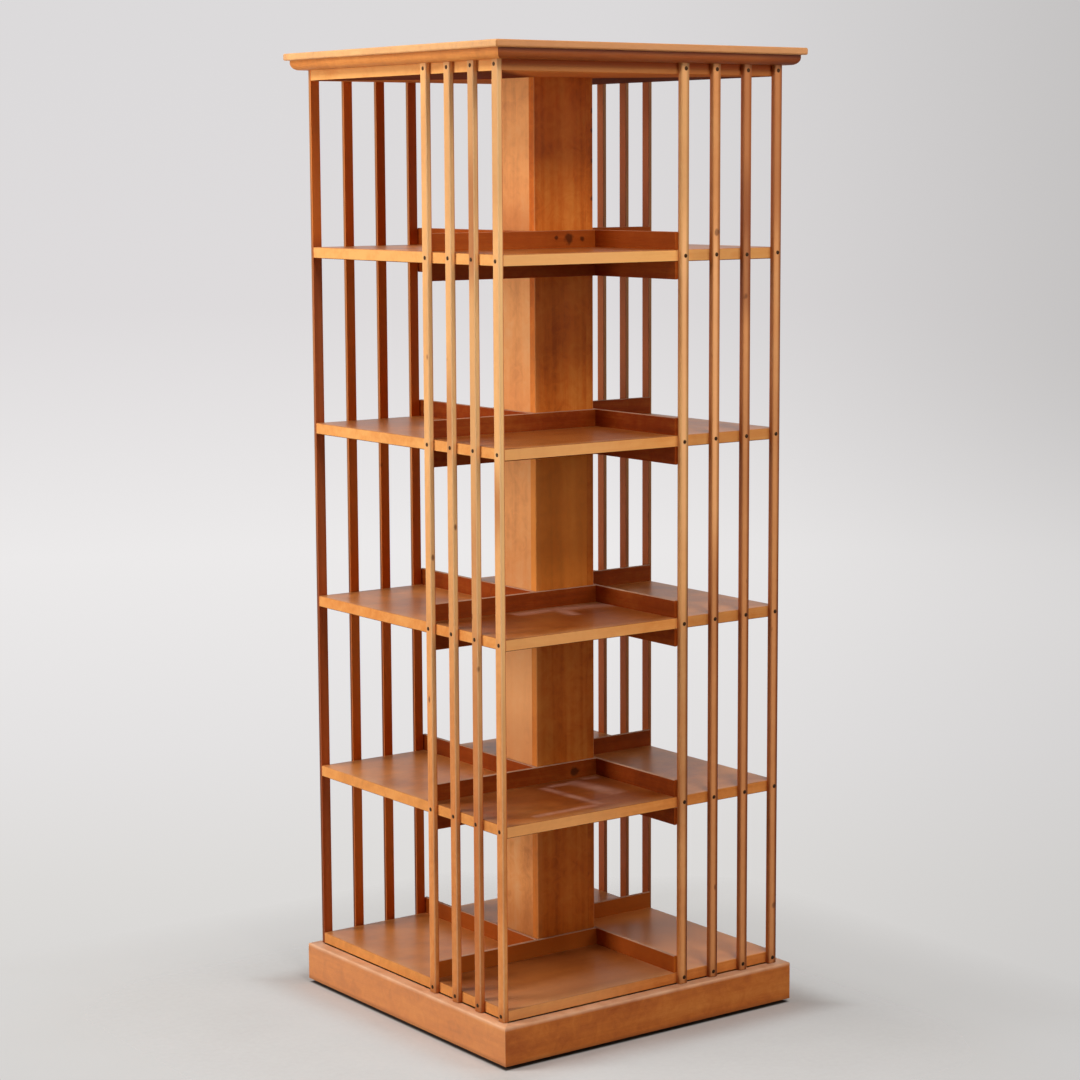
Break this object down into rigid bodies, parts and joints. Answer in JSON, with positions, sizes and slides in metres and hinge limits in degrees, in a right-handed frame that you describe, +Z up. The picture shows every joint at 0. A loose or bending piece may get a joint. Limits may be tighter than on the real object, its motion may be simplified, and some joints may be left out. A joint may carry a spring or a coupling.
{
  "type": "revolving bookcase",
  "caption": "Tall free-standing revolving bookcase: a square slatted case of open book bays laid pinwheel fashion round a hollow column, turning on a post in a low plinth.",
  "frame": {"origin": "on the floor at the middle of the plinth, under the post the case turns on", "axes": "+Z up along the turning axis, -Y towards the front face, -X towards the left face"},
  "size_m": [0.65, 0.65, 1.679],
  "materials": {
    "case_wood": "satin lacquer over honey stain",
    "slat_wood": "satin lacquer over honey stain",
    "shelf_wood": "semi-gloss lacquer, lightly scuffed",
    "plinth_wood": "satin lacquer over honey stain",
    "inner_wood": "bare softwood",
    "steel": "bright drawn",
    "cast_iron": "black japanned",
    "brass": "turned",
    "glide_plastic": "matte"
  },
  "bodies": {
    "stand": {"plinth_front": "plinth_wood", "plinth_right": "plinth_wood", "plinth_back": "plinth_wood", "plinth_left": "plinth_wood", "corner_blocks": "inner_wood", "floor_glides": "glide_plastic", "bearer_long": "inner_wood", "bearer_cross": "inner_wood", "post_flange": "cast_iron", "flange_screws": "steel", "centre_post": "steel", "pivot_pin": "steel"},
    "case": {"bottom_board": "shelf_wood", "shelf_1": "shelf_wood", "shelf_2": "shelf_wood", "shelf_3": "shelf_wood", "shelf_4": "shelf_wood", "top_board": "case_wood", "column_front": "case_wood", "column_right": "case_wood", "column_back": "case_wood", "column_left": "case_wood", "book_stops_bottom": "case_wood", "book_stops_1": "case_wood", "book_stops_2": "case_wood", "book_stops_3": "case_wood", "book_stops_4": "case_wood", "shelf_rails_1": "case_wood", "shelf_rails_2": "case_wood", "shelf_rails_3": "case_wood", "shelf_rails_4": "case_wood", "slat_front_1": "slat_wood", "slat_front_2": "slat_wood", "slat_front_3": "slat_wood", "slat_front_4": "slat_wood", "slat_right_1": "slat_wood", "slat_right_2": "slat_wood", "slat_right_3": "slat_wood", "slat_right_4": "slat_wood", "slat_back_1": "slat_wood", "slat_back_2": "slat_wood", "slat_back_3": "slat_wood", "slat_back_4": "slat_wood", "slat_left_1": "slat_wood", "slat_left_2": "slat_wood", "slat_left_3": "slat_wood", "slat_left_4": "slat_wood", "top_packing": "inner_wood", "top_slab": "case_wood", "cornice_front": "case_wood", "cornice_right": "case_wood", "cornice_back": "case_wood", "cornice_left": "case_wood", "head_block": "inner_wood", "pivot_cup": "steel", "guide_bush": "brass"}
  },
  "joints": [
    {"name": "case_turn", "type": "hinge", "parent": "stand", "child": "case", "pos_m": [0, 0, 0], "axis": [0, 0, 1], "continuous": true}
  ]
}
